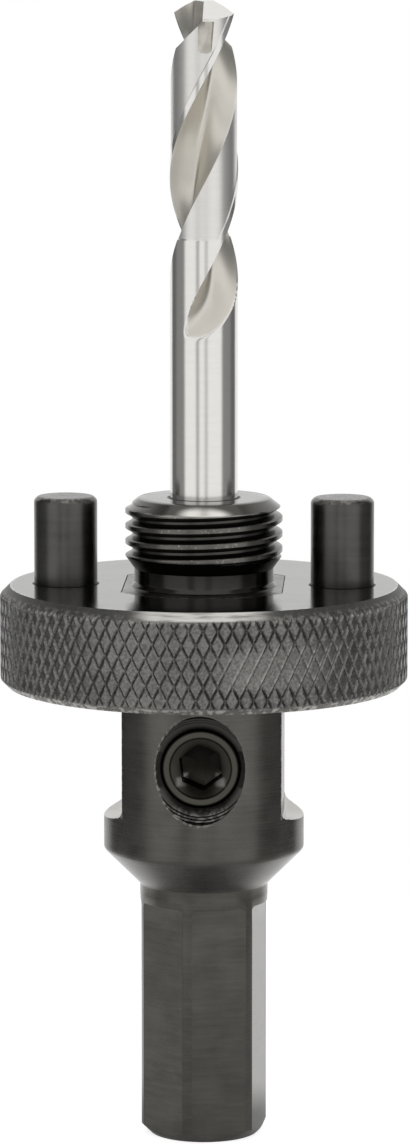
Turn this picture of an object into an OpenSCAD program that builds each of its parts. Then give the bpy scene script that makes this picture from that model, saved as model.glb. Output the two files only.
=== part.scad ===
// Hole saw arbor: a hexagon shank and collar turned from one bar, a drive plate
// that slides on the collar's flats, and a pilot drill held by a set screw.
// Millimetres. The shank's end stands on z = 0 with the axis along +Z, and the
// set screw faces -Y.

/* [Shank] */
// Diameter of the round bar that the hexagon is milled on
bar_d = 12.9; // [12.4:0.1:14]
// Depth of the hexagon's flats in the bar
hex_cut = 0.65; // [0.3:0.05:0.85]
// Height of the hexagon's flats above the shank's end
hex_h = 24; // [15:0.5:60]
// Turn of the hexagon, from one flat facing the set screw's side
hex_turn = 17; // [0:1:59]
// Rounding in the top corners of the hexagon's flats
flat_corner_r = 0.7; // [0.3:0.1:1.5]
// Height of the round bar left between the flats and the collar's cone
bar_neck_h = 1.8; // [0.5:0.1:10]
// Chamfer at the shank's end
end_chamfer = 1; // [0.3:0.1:2]

/* [Collar] */
// Diameter of the collar that the drive plate slides on
collar_d = 20.2; // [19:0.1:21.5]
// Height of the round collar between its cone and the ledges
collar_h = 3.3; // [2:0.1:12]
// Height of the flats, from the ledges to the shoulder
flats_h = 23.45; // [20:0.05:30]
// How far the flats stand outside the thread, so that the plate passes over it
flats_out = 0.1; // [0.05:0.05:0.8]
// Radius of the side cutter that leaves the ledges
cutter_r = 32; // [26:1:40]
// Rounding between flat and ledge
ledge_r = 0.7; // [0.2:0.1:1.2]
// Chamfer on the collar's lower edge
collar_edge = 0.3; // [0.1:0.1:0.6]

/* [Threaded nose] */
// Outside diameter of the thread
thread_d = 15.8; // [14:0.05:17.5]
// Depth of the relief between shoulder and thread
relief_cut = 0.9; // [0.5:0.05:1.2]
// Height of that relief
relief_h = 1.75; // [1:0.05:3]
// Height of the thread's tapered start
lead_in_h = 1.25; // [0.5:0.05:2]
// Height of the nose above the shoulder
nose_h = 8.8; // [7:0.1:20]
// Width of the chamfer at the top of the nose
nose_chamfer = 1.3; // [0.3:0.05:1.5]
// Height of that chamfer
nose_chamfer_h = 1; // [0.3:0.05:1.5]

/* [Drive plate] */
// Diameter over the knurl
plate_d = 41; // [40:0.5:50]
// Thickness
plate_t = 10; // [7:0.5:12]
// Number of knurl teeth round the rim
knurl_n = 90; // [60:2:110]
// Depth of the knurl
knurl_depth = 0.4; // [0.2:0.05:0.6]
// Height of one row of knurl teeth
knurl_row = 2.75; // [2:0.05:4]
// Chamfer at the plate's top edge
plate_chamfer = 0.8; // [0.5:0.1:1.2]
// Chamfer at the plate's bottom edge
plate_edge = 0.5; // [0.4:0.1:0.8]
// Chamfer round the pin holes
pin_hole_edge = 0.45; // [0.1:0.05:0.5]

/* [Drive pins] */
// Diameter of a drive pin
pin_d = 6.35; // [5:0.05:6.6]
// How far the pins stand inwards of the middle between flat and knurl
pin_in = 0.175; // [0:0.025:1]
// Height of the pins above the plate
pin_up = 8.9; // [5:0.1:12]
// How much slimmer a pin is where it is pressed into the plate, all round
pin_step = 0.25; // [0.2:0.05:0.4]
// How far a pin stops short of the plate's underside
pin_short = 0.5; // [0.2:0.1:2]
// Chamfer at a pin's ends
pin_chamfer = 0.4; // [0.2:0.1:0.8]

/* [Pilot drill] */
// Diameter of the drill
drill_d = 6.8; // [6:0.05:7]
// Length of the drill, from its shank to its point
drill_len = 85; // [75:1:110]
// Depth of the drill's hole below the top of the nose
drill_hole = 35.4; // [30:0.1:37]
// Length of the flutes, point and run-out together
flute_len = 33.6; // [30:0.2:36]
// Length of their run-out
runout_len = 8; // [4:0.5:10]
// Height of one full turn of a flute
flute_lead = 39.2; // [30:0.2:50]
// Width of a flute, in degrees round the drill
flute_deg = 93; // [80:1:100]
// Turn of the flutes about the axis
flute_turn = 17; // [0:1:179]
// Thickness of the web between the flutes
web_t = 1.7; // [1.2:0.1:2.4]
// Angle of the point
point_deg = 118; // [110:1:140]
// Length of the ground-down lands, from the point
land_len = 24; // [15:0.5:26]
// Depth that the lands are ground down behind their margins
land_cut = 0.1; // [0.05:0.05:0.2]
// Depth of the clamping flat on the drill's shank
clamp_flat = 0.7; // [0.4:0.05:1]
// How far that flat runs on above the set screw
clamp_over = 1; // [0.5:0.1:5]

/* [Set screw] */
// Diameter of the set screw's hole
screw_d = 8; // [7:0.5:8.5]
// How far the screw's face lies inside the collar
screw_sink = 1.4; // [0.6:0.1:2.5]
// Height of the screw's axis above the ledges
screw_up = 6.15; // [5.8:0.05:9]
// Size of its hexagon socket
screw_key = 4; // [3:0.5:4]
// Depth of that socket
screw_key_h = 3; // [2:0.1:3.5]
// Turn of that socket, from one corner pointing down
screw_key_turn = 7; // [0:1:59]
// Width of the flat ring round the socket's bowl
bowl_rim = 0.85; // [0.4:0.05:1.2]
// Depth of the bowl
bowl_h = 0.7; // [0.3:0.1:1]
// Diameter of the hole's countersink at the collar's surface
sink_d = 11; // [9:0.1:11.4]

/* [Plate detent] */
// Diameter of the ball that bears on the collar
ball_d = 3.5; // [3:0.1:4]
// Depth of the ball's groove in the collar
groove_h = 0.55; // [0.3:0.05:0.8]
// Diameter of the grub screw behind the spring
grub_d = 5; // [4.6:0.1:6]
// Room for the spring, from the ball to the grub screw
spring_h = 2; // [1.4:0.1:3]
// How far its face lies below the knurl
grub_sink = 1; // [0.6:0.1:1.5]
// Size of its hexagon socket
grub_key = 2.5; // [2:0.5:2.5]
// Diameter of the spring's wire
wire_d = 0.4; // [0.3:0.05:0.5]
// Turns of the spring
spring_turns = 3; // [2:0.5:4]

/* [Fits] */
// Clearance of the plate on the collar, all round
slide_gap = 0.05; // [0.03:0.01:0.1]
// Clearance of drill, screws and ball in their holes, all round
hole_gap = 0.05; // [0.03:0.01:0.1]
// Clearance of the pressed pins, all round
press_gap = 0.01; // [0:0.01:0.02]

/* [Hidden] */
$fn = 96;
// Overrun of a cutter past the surface that it opens
over = 1;
// How far the drill's fluted part lies inside its shank's surface
skin = 0.01;
// Half width of the edge across the drill's point
chisel_r = 0.15;

// Radii
bar_r = bar_d / 2;
collar_r = collar_d / 2;
thread_r = thread_d / 2;
plate_r = plate_d / 2;
drill_r = drill_d / 2;
hole_r = drill_r + hole_gap;
relief_r = thread_r - relief_cut;
flat_x = thread_r + flats_out;
hex_x = bar_r - hex_cut;
screw_r = screw_d / 2 - hole_gap;
ball_r = ball_d / 2;
grub_r = grub_d / 2 - hole_gap;

// Heights of the body, from the shank's end up
cone_z = hex_h + bar_neck_h;
collar_z = cone_z + collar_r - bar_r;
ledge_z = collar_z + collar_h;
shoulder_z = ledge_z + flats_h;
nose_z = shoulder_z + nose_h;
plate_z = shoulder_z - plate_t;
screw_z = ledge_z + screw_up;
drill_z = nose_z - drill_hole;

// Plate's slide: down until it stands just off the roundings above the ledges,
// whose ends lie higher than their middles
flat_half_y = sqrt(collar_r * collar_r - flat_x * flat_x);
ledge_end_z = ledge_z + cutter_r - sqrt(cutter_r * cutter_r - flat_half_y * flat_half_y);
plate_travel = plate_z - ledge_end_z - ledge_r - slide_gap;

// Set screw: its tip stands just off the drill's clamping flat
clamp_y = drill_r - clamp_flat;
screw_tip_y = clamp_y + hole_gap;
screw_face_y = collar_r - screw_sink;
screw_len = screw_face_y - screw_tip_y;

// Drive pins: they stand near the middle between flat and knurl
knurl_root_r = plate_r - knurl_depth;
pin_x = (flat_x + slide_gap + knurl_root_r) / 2 - pin_in;
pin_r = pin_d / 2;
pin_press_r = pin_r - pin_step;

// Detent: the ball stands in its groove at half the plate's thickness
ball_z = plate_z + plate_t / 2;
groove_r = ball_r + hole_gap;
ball_y = collar_r - groove_h + groove_r;
grub_face_y = knurl_root_r - grub_sink;
grub_end_y = ball_y + ball_r + spring_h;
grub_len = grub_face_y - grub_end_y;
coil_r = ball_r - wire_d / 2 - 2 * hole_gap;
coil_start_y = ball_y + sqrt(ball_r * ball_r - coil_r * coil_r) + wire_d / 2 + hole_gap;
coil_end_y = grub_end_y - wire_d / 2 - hole_gap;

// Colours of the blackened steel, the fasteners and the bright drill
black_steel = [0.24, 0.24, 0.23];
plate_steel = [0.31, 0.31, 0.30];
screw_steel = [0.20, 0.20, 0.19];
bright_steel = [0.80, 0.80, 0.78];

// Turned outline of the body, right of the axis
module body_outline() {
    polygon([
        [0, 0],
        [bar_r - end_chamfer, 0],
        [bar_r, end_chamfer],
        [bar_r, cone_z],
        [collar_r - collar_edge, collar_z - collar_edge],
        [collar_r, collar_z + collar_edge],
        [collar_r, shoulder_z],
        [relief_r, shoulder_z],
        [relief_r, shoulder_z + relief_h],
        [thread_r, shoulder_z + relief_h + lead_in_h],
        [thread_r, nose_z - nose_chamfer_h],
        [thread_r - nose_chamfer, nose_z],
        [0, nose_z]
    ]);
}

// Outline of one hexagon flat, seen square on, with round top corners
module hex_flat_outline() {
    edge_over = 0.1;
    flat_half = sqrt(bar_r * bar_r - hex_x * hex_x) + edge_over;
    corner_x = flat_half - flat_corner_r;
    corner_z = hex_h - flat_corner_r;
    translate([-flat_half, -over]) square([2 * flat_half, corner_z + over]);
    translate([-corner_x, -over]) square([2 * corner_x, hex_h + over]);
    for (side = [-1, 1])
        translate([side * corner_x, corner_z]) circle(flat_corner_r);
}

// The six cuts that leave the hexagon
module hex_cuts() {
    for (k = [0 : 5])
        rotate(hex_turn - 90 + 60 * k)
            translate([hex_x, 0, 0])
                rotate([90, 0, 90])
                    linear_extrude(bar_r) hex_flat_outline();
}

// The cut of a side cutter with a rounded corner: one flat and its ledge
module flat_cut() {
    translate([flat_x, 0, ledge_z + cutter_r])
        rotate([0, 90, 0])
            rotate_extrude() {
                square([cutter_r - ledge_r, collar_r]);
                translate([0, ledge_r]) square([cutter_r, collar_r]);
                translate([cutter_r - ledge_r, ledge_r]) circle(ledge_r);
            }
}

// The drill's blind hole, with a drill point at its bottom
module drill_hole_cut() {
    point_h = hole_r / tan(point_deg / 2);
    translate([0, 0, drill_z]) cylinder(r = hole_r, h = drill_hole + over);
    translate([0, 0, drill_z - point_h]) cylinder(r1 = 0, r2 = hole_r, h = point_h);
}

// The set screw's hole and its countersink, from the axis out through -Y
module screw_hole_cut() {
    sink_h = (sink_d - screw_d) / 2;
    translate([0, 0, screw_z])
        rotate([90, 0, 0]) {
            cylinder(d = screw_d, h = collar_r + over);
            translate([0, 0, collar_r - sink_h])
                cylinder(d1 = screw_d, d2 = sink_d + 2 * over, h = sink_h + over);
        }
}

// The groove that the detent's ball runs in, with round ends
module groove_cut() {
    translate([0, ball_y, ball_z - plate_travel]) {
        cylinder(r = groove_r, h = plate_travel);
        sphere(groove_r);
        translate([0, 0, plate_travel]) sphere(groove_r);
    }
}

// Shank, collar and threaded nose, turned and milled from one bar
module arbor_body() {
    color(black_steel)
        difference() {
            rotate_extrude() body_outline();
            hex_cuts();
            for (side = [0, 180]) rotate(side) flat_cut();
            drill_hole_cut();
            screw_hole_cut();
            groove_cut();
        }
}

// A ring of the knurled rim: a plain radius, or teeth that stand out at every second column
columns = 2 * round(knurl_n);
function rim_point(i, r, z) = [r * cos(360 * i / columns), r * sin(360 * i / columns), z];
function plain_ring(r, z) = [for (i = [0 : columns - 1]) rim_point(i, r, z)];
function tooth_ring(row, z) =
    [for (i = [0 : columns - 1]) rim_point(i, plate_r - ((i + row) % 2) * knurl_depth, z)];

// Triangles between ring j and the next. Where toothed, every second square is
// split the other way, so that the splits follow the valleys between teeth.
function ring_faces(j, n, toothed) =
    [for (i = [0 : n - 1])
        let (a = j * n + i, b = a + n, d = j * n + (i + 1) % n, c = d + n)
            each (toothed && (i + j) % 2 == 0 ? [[a, b, d], [b, c, d]] : [[a, b, c], [a, c, d]])];

// Closed skin over a stack of rings, each with n points
function stack_faces(rings, n, toothed = false) =
    concat([[for (i = [0 : n - 1]) i]],
           [for (j = [0 : rings - 2]) each ring_faces(j, n, toothed)],
           [[for (i = [n - 1 : -1 : 0]) (rings - 1) * n + i]]);

// The plate's blank: a disc whose rim is knurled between two chamfers
module knurled_blank() {
    low_z = plate_edge;
    high_z = plate_t - plate_chamfer;
    rows = round(2 * (high_z - low_z) / knurl_row);
    step = (high_z - low_z) / rows;
    rings = [
        plain_ring(plate_r - plate_edge - knurl_depth / 2, 0),
        for (row = [0 : rows]) tooth_ring(row + 1, low_z + row * step),
        plain_ring(plate_r - plate_chamfer - knurl_depth / 2, plate_t)
    ];
    polyhedron(points = [for (ring = rings) each ring], faces = stack_faces(len(rings), columns, true));
}

// Hole with a chamfer at its upper mouth, made from the plate's underside up
module edged_hole(r, depth) {
    translate([0, 0, -over]) cylinder(r = r, h = depth + over);
    translate([0, 0, depth - pin_hole_edge])
        cylinder(r1 = r, r2 = r + pin_hole_edge + over, h = pin_hole_edge + over);
}

// The bore that fits the collar and its two flats
module plate_bore() {
    intersection() {
        translate([0, 0, -over]) cylinder(r = collar_r + slide_gap, h = plate_t + 2 * over);
        cube([2 * (flat_x + slide_gap), 3 * collar_r, 3 * plate_t], center = true);
    }
}

// The detent's way through the plate, along +Y at half its thickness
module detent_hole() {
    translate([0, 0, plate_t / 2])
        rotate([-90, 0, 0]) {
            cylinder(r = ball_r + hole_gap, h = plate_r);
            translate([0, 0, grub_end_y]) cylinder(d = grub_d, h = plate_r);
        }
}

// Knurled plate that slides on the collar and carries the pins
module drive_plate() {
    color(plate_steel)
        translate([0, 0, plate_z])
            difference() {
                knurled_blank();
                plate_bore();
                for (side = [-1, 1])
                    translate([side * pin_x, 0, 0]) edged_hole(pin_press_r + press_gap, plate_t);
                detent_hole();
            }
}

// A drive pin: its slimmer end is pressed into the plate, up to its top
module drive_pin(side) {
    press_h = plate_t - pin_short;
    pin_h = press_h + pin_up;
    color(black_steel)
        translate([side * pin_x, 0, plate_z + pin_short])
            rotate_extrude()
                polygon([
                    [0, 0], [pin_press_r - pin_chamfer, 0], [pin_press_r, pin_chamfer],
                    [pin_press_r, press_h], [pin_r, press_h],
                    [pin_r, pin_h - pin_chamfer], [pin_r - pin_chamfer, pin_h], [0, pin_h]
                ]);
}

module drive_pin_left() drive_pin(-1);
module drive_pin_right() drive_pin(1);

// Flute section, one half turn as [angle, share of depth]: the ground land, its
// margin, then the flute from the cutting side to the heel
land_steps = 5;
flute_steps = 10;
margin_deg = 12;
land_deg = 180 - flute_deg;
function flute_depth(u) = pow(sin(180 * pow(u, 0.75)), 0.7);
half_section = [
    for (i = [0 : land_steps]) [i / land_steps * (land_deg - margin_deg), 0, 1],
    [land_deg - margin_deg + 1, 0, 0],
    [land_deg, 0, 0],
    for (i = [1 : flute_steps - 1])
        [land_deg + i / flute_steps * flute_deg, flute_depth(i / flute_steps), 0]
];
section = [for (half = [0, 180]) for (s = half_section) [s[0] + half, s[1], s[2]]];

// How far the flutes' bottom has risen at a height below the point: their cutter
// leaves the drill along an arc, so they grow narrower as they rise out
full_depth = drill_r - web_t / 2;
function rise(below) =
    let (t = min(1, max(0, 1 - (flute_len - below) / runout_len)))
        full_depth * t * t;

// One ring of the fluted part, at a height below the point
function drill_ring(below) =
    let (z = drill_len - below,
         turn = flute_turn + 360 * z / flute_lead,
         cone_r = chisel_r + below * tan(point_deg / 2),
         cut = below < land_len ? land_cut : 0)
        [for (s = section)
            let (depth = skin + max(0, s[1] * full_depth - rise(below)) + s[2] * cut,
                 r = min(drill_r - depth, cone_r))
                [r * cos(s[0] + turn), r * sin(s[0] + turn), z]];

// Pilot drill: a round shank with a clamping flat, and two flutes up to the point
module pilot_drill() {
    ring_step = 1.2;
    lap = 0.5;
    point_h = drill_r / tan(point_deg / 2);
    rises = ceil((flute_len - point_h) / ring_step);
    rings = [
        drill_ring(flute_len + lap),
        for (i = [0 : rises]) drill_ring(flute_len - i * (flute_len - point_h) / rises),
        drill_ring(point_h * 2 / 3),
        drill_ring(point_h / 3),
        drill_ring(0)
    ];
    n = len(section);
    color(bright_steel)
        translate([0, 0, drill_z])
            difference() {
                union() {
                    cylinder(r = drill_r, h = drill_len - flute_len);
                    polyhedron(points = [for (ring = rings) each ring],
                               faces = stack_faces(len(rings), n));
                }
                translate([-drill_r, -drill_r - over, -over])
                    cube([drill_d, over + clamp_flat, over + screw_z - drill_z + screw_r + clamp_over]);
            }
}

// Set screw: its face lies inside the countersink, its tip on the drill's flat
module set_screw() {
    tip_chamfer = 0.8;
    face_chamfer = 0.2;
    bowl_r = screw_r - bowl_rim;
    color(screw_steel)
        translate([0, -screw_face_y, screw_z])
            rotate([-90, 30 - screw_key_turn, 0])
                difference() {
                    rotate_extrude()
                        polygon([
                            [0, 0], [screw_r - face_chamfer, 0], [screw_r, face_chamfer],
                            [screw_r, screw_len - tip_chamfer],
                            [screw_r - tip_chamfer, screw_len], [0, screw_len]
                        ]);
                    translate([0, 0, -over]) key_socket(screw_key, screw_key_h + over);
                    translate([0, 0, -over])
                        cylinder(r1 = bowl_r + over * (bowl_r - screw_key / 2) / bowl_h,
                                 r2 = screw_key / 2, h = bowl_h + over);
                }
}

// Hexagon socket, by its width across flats
module key_socket(width, depth) {
    cylinder(r = width / 2 / cos(30), h = depth, $fn = 6);
}

// Ball that bears on the collar's groove
module detent_ball() {
    color(bright_steel) translate([0, ball_y, ball_z]) sphere(ball_r);
}

// Coil spring that presses the ball
coil_sides = 8;
coil_steps = 14;
function coil_ring(a, y) =
    [for (k = [0 : coil_sides - 1])
        let (w = 360 * k / coil_sides, r = coil_r + wire_d / 2 * cos(w))
            [r * cos(a), y + wire_d / 2 * sin(w), ball_z + r * sin(a)]];
module detent_spring() {
    steps = round(coil_steps * spring_turns);
    rings = [for (i = [0 : steps])
        coil_ring(360 * i / coil_steps, coil_start_y + (coil_end_y - coil_start_y) * i / steps)];
    color(bright_steel)
        polyhedron(points = [for (ring = rings) each ring],
                   faces = stack_faces(steps + 1, coil_sides));
}

// Grub screw that closes the detent's hole
module detent_screw() {
    edge = min(0.3, grub_len / 4);
    key_h = grub_len / 2;
    color(screw_steel)
        translate([0, grub_face_y, ball_z])
            rotate([90, 0, 0])
                difference() {
                    rotate_extrude()
                        polygon([
                            [0, 0], [grub_r - edge, 0], [grub_r, edge],
                            [grub_r, grub_len - edge], [grub_r - edge, grub_len], [0, grub_len]
                        ]);
                    translate([0, 0, -over]) key_socket(grub_key, key_h + over);
                }
}

arbor_body();
drive_plate();
drive_pin_left();
drive_pin_right();
pilot_drill();
set_screw();
detent_ball();
detent_spring();
detent_screw();
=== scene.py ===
"""Dresses the packed hole saw arbor: its thread, knurl, flutes and finishes, in a plain white studio.

Shapes are worked out in millimetres, in the frame of the CAD model: the axis is Z, the shank's end
stands on z = 0 and the set screw faces -Y. They become metres when a mesh is made.
"""

import math

import bmesh
import bpy
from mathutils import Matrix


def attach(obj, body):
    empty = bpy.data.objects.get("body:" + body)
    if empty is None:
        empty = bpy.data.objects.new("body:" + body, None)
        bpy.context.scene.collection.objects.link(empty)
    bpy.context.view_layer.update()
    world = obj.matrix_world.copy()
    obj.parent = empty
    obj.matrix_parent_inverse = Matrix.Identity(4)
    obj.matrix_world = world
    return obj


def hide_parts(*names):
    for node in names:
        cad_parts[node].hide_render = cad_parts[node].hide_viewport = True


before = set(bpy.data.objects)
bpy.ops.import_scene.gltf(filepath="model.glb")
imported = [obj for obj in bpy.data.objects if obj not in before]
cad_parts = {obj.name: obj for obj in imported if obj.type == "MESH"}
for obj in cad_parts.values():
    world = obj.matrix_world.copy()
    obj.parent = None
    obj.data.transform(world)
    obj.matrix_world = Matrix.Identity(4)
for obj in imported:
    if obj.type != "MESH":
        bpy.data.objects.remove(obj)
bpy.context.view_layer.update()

bl_info = {
    "name": "Hole saw arbor",
    "version": (1, 0, 0),
    "blender": (4, 5, 0),
    "location": "3D View > Sidebar > Arbor",
    "description": "Builds a dressed hole saw arbor around its packed CAD model",
    "category": "Object",
}

MM = 0.001

# Main sizes, in millimetres, as in the CAD model
BAR_R = 6.45
HEX_X = 5.8
HEX_H = 24.0
HEX_TURN = 17.0
FLAT_CORNER_R = 0.7
END_CHAMFER = 1.0
CONE_Z = 25.8
COLLAR_R = 10.1
COLLAR_Z = 29.45
LEDGE_Z = 32.75
LEDGE_R = 0.7
CUTTER_R = 32.0
FLAT_X = 8.0
SHOULDER_Z = 56.2
NOSE_Z = 65.0
NOSE_CHAMFER = 1.3
NOSE_CHAMFER_H = 1.0
RELIEF_R = 7.0
RELIEF_H = 1.75
LEAD_IN_H = 1.25
THREAD_R = 7.9
PLATE_R = 20.5
PLATE_T = 10.0
PLATE_Z = SHOULDER_Z - PLATE_T
PLATE_CHAMFER = 0.8
PLATE_EDGE = 0.5
SLIDE_GAP = 0.05
HOLE_GAP = 0.05
PIN_R = 3.175
PIN_PRESS_R = 2.925
PIN_HOLE_EDGE = 0.45
PIN_X = 13.9
PIN_UP = 8.9
PIN_SHORT = 0.5
DRILL_R = 3.4
DRILL_Z = 29.6
DRILL_TOP = 114.6
FLUTE_LEN = 33.6
CLAMP_Y = 2.7
CLAMP_TOP = 43.85
SCREW_Z = 38.9
SCREW_R = 3.95
SCREW_FACE_Y = 8.7
SCREW_LEN = 5.95
SINK_R = 5.5
BALL_R = 1.75
BALL_Y = 11.35
BALL_Z = 51.2
GROOVE_R = 1.8
PLATE_TRAVEL = 12.1
GRUB_R = 2.45
GRUB_FACE_Y = 19.1
GRUB_LEN = 4.0


# Formulas in node trees

class Field:
    """A socket of a node tree that can be used in a formula."""

    def __init__(self, tree, socket):
        self.tree = tree
        self.socket = socket

    def math(self, operation, *others):
        return maths(self.tree, operation, self, *others)

    def __add__(self, other):
        return self.math("ADD", other)

    def __radd__(self, other):
        return self.math("ADD", other)

    def __sub__(self, other):
        return self.math("SUBTRACT", other)

    def __rsub__(self, other):
        return maths(self.tree, "SUBTRACT", other, self)

    def __mul__(self, other):
        return self.math("MULTIPLY", other)

    def __rmul__(self, other):
        return self.math("MULTIPLY", other)

    def __truediv__(self, other):
        return self.math("DIVIDE", other)

    def __rtruediv__(self, other):
        return maths(self.tree, "DIVIDE", other, self)

    def __pow__(self, other):
        return self.math("POWER", other)

    def least(self, other):
        return self.math("MINIMUM", other)

    def most(self, other):
        return self.math("MAXIMUM", other)

    def within(self, low, high):
        return self.most(low).least(high)

    def rise(self, low, high):
        """0 below low and 1 above high, smooth between."""
        node = self.tree.nodes.new("ShaderNodeMapRange")
        node.interpolation_type = "SMOOTHSTEP"
        feed(self.tree, node.inputs["Value"], self)
        feed(self.tree, node.inputs["From Min"], low)
        feed(self.tree, node.inputs["From Max"], high)
        return Field(self.tree, node.outputs["Result"])

    def near(self, place, reach):
        """1 at a place and 0 further than reach from it."""
        return 1 - (self - place).math("ABSOLUTE").rise(reach * 0.4, reach)


def feed(tree, socket, value):
    """Links a field to a socket, or sets the socket to a plain value."""
    if isinstance(value, Field):
        tree.links.new(value.socket, socket)
    else:
        socket.default_value = value


def maths(tree, operation, *values):
    node = tree.nodes.new("ShaderNodeMath")
    node.operation = operation
    for socket, value in zip(node.inputs, values):
        feed(tree, socket, value)
    return Field(tree, node.outputs[0])


def vector(tree, x, y, z):
    node = tree.nodes.new("ShaderNodeCombineXYZ")
    for socket, value in zip(node.inputs, (x, y, z)):
        feed(tree, socket, value)
    return Field(tree, node.outputs[0])


def split(tree, field):
    node = tree.nodes.new("ShaderNodeSeparateXYZ")
    feed(tree, node.inputs[0], field)
    return [Field(tree, socket) for socket in node.outputs]


# Meshes

def add_object(name, mesh):
    piece = bpy.data.objects.new(name, mesh)
    bpy.context.scene.collection.objects.link(piece)
    return piece


def rounded(corners, steps=3):
    """Points along a profile whose corners are (radius, height, rounding, parts of the way on)."""
    least = 0.004
    most_share = 0.45
    pieces = [[corners[0][:2]]]
    for before, here, after in zip(corners, corners[1:], corners[2:]):
        back = math.dist(before[:2], here[:2])
        forth = math.dist(after[:2], here[:2])
        to_back = [(b - h) / back for b, h in zip(before[:2], here[:2])]
        to_forth = [(a - h) / forth for a, h in zip(after[:2], here[:2])]
        inside = sum(b * f for b, f in zip(to_back, to_forth))
        half_turn = (math.pi - math.acos(max(-1.0, min(1.0, inside)))) / 2
        reach = min(here[2] * math.tan(half_turn), most_share * back, most_share * forth)
        reach = max(reach, min(least, most_share * back, most_share * forth))
        start = [h + t * reach for h, t in zip(here[:2], to_back)]
        end = [h + t * reach for h, t in zip(here[:2], to_forth)]
        pieces.append([
            tuple((1 - t) ** 2 * s + 2 * t * (1 - t) * h + t * t * e
                  for s, h, e in zip(start, here[:2], end))
            for t in (k / steps for k in range(steps + 1))
        ])
    pieces.append([corners[-1][:2]])
    points = []
    for corner, piece, following in zip(corners, pieces, pieces[1:]):
        points += piece
        for k in range(1, corner[3]):
            share = k / corner[3]
            points.append(tuple(a + (b - a) * share for a, b in zip(piece[-1], following[0])))
    return points + pieces[-1]


def skin(name, rings, low_cap=True, high_cap=True):
    """Mesh over a stack of rings, each a list of as many points in millimetres."""
    count = len(rings[0])
    points = [[c * MM for c in point] for ring in rings for point in ring]
    faces = []
    for j in range(len(rings) - 1):
        low = j * count
        for i in range(count):
            after = (i + 1) % count
            faces.append((low + i, low + after, low + count + after, low + count + i))
    if low_cap:
        faces.append(tuple(range(count - 1, -1, -1)))
    if high_cap:
        top = (len(rings) - 1) * count
        faces.append(tuple(range(top, top + count)))
    mesh = bpy.data.meshes.new(name)
    mesh.from_pydata(points, [], faces)
    return mesh


def turned(profile, columns, place=None):
    """Rings of a turned shape. place(radius, angle, height) gives a point, by default about Z."""
    place = place or (lambda r, a, z: (r * math.cos(a), r * math.sin(a), z))
    angles = [2 * math.pi * i / columns for i in range(columns)]
    return [[place(r, a, z) for a in angles] for r, z in profile]


def facing(y_sign, centre_z):
    """Places a turned shape's axis along Y, through x = 0 and centre_z."""
    return lambda r, a, z: (r * math.cos(a), y_sign * z, centre_z - y_sign * r * math.sin(a))


def settle(piece):
    """Turns a piece's modifiers into a plain mesh."""
    graph = bpy.context.evaluated_depsgraph_get()
    made = bpy.data.meshes.new_from_object(piece.evaluated_get(graph))
    old = piece.data
    piece.modifiers.clear()
    piece.data = made
    made.name = piece.name
    bpy.data.meshes.remove(old)
    return piece


def cut(piece, cutters, operation="DIFFERENCE"):
    """Cuts a piece with cutters, or joins them to it. The cut faces keep the cutters' finishes."""
    for cutter in cutters:
        step = piece.modifiers.new("Cut", "BOOLEAN")
        step.operation = operation
        step.solver = "EXACT"
        step.material_mode = "TRANSFER"
        step.object = cutter
    settle(piece)
    for cutter in cutters:
        mesh = cutter.data
        bpy.data.objects.remove(cutter)
        bpy.data.meshes.remove(mesh)


def solid(name, rings, finish, low_cap=True, high_cap=True):
    """Object over a stack of rings, in one finish."""
    mesh = skin(name, rings, low_cap, high_cap)
    mesh.materials.append(finish)
    return add_object(name, mesh)


def dress(piece, body, slot, *nodes):
    """Lets a finished piece stand for its CAD nodes and move with their body."""
    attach(piece, body)
    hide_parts(*nodes)


# Geometry Nodes

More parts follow.
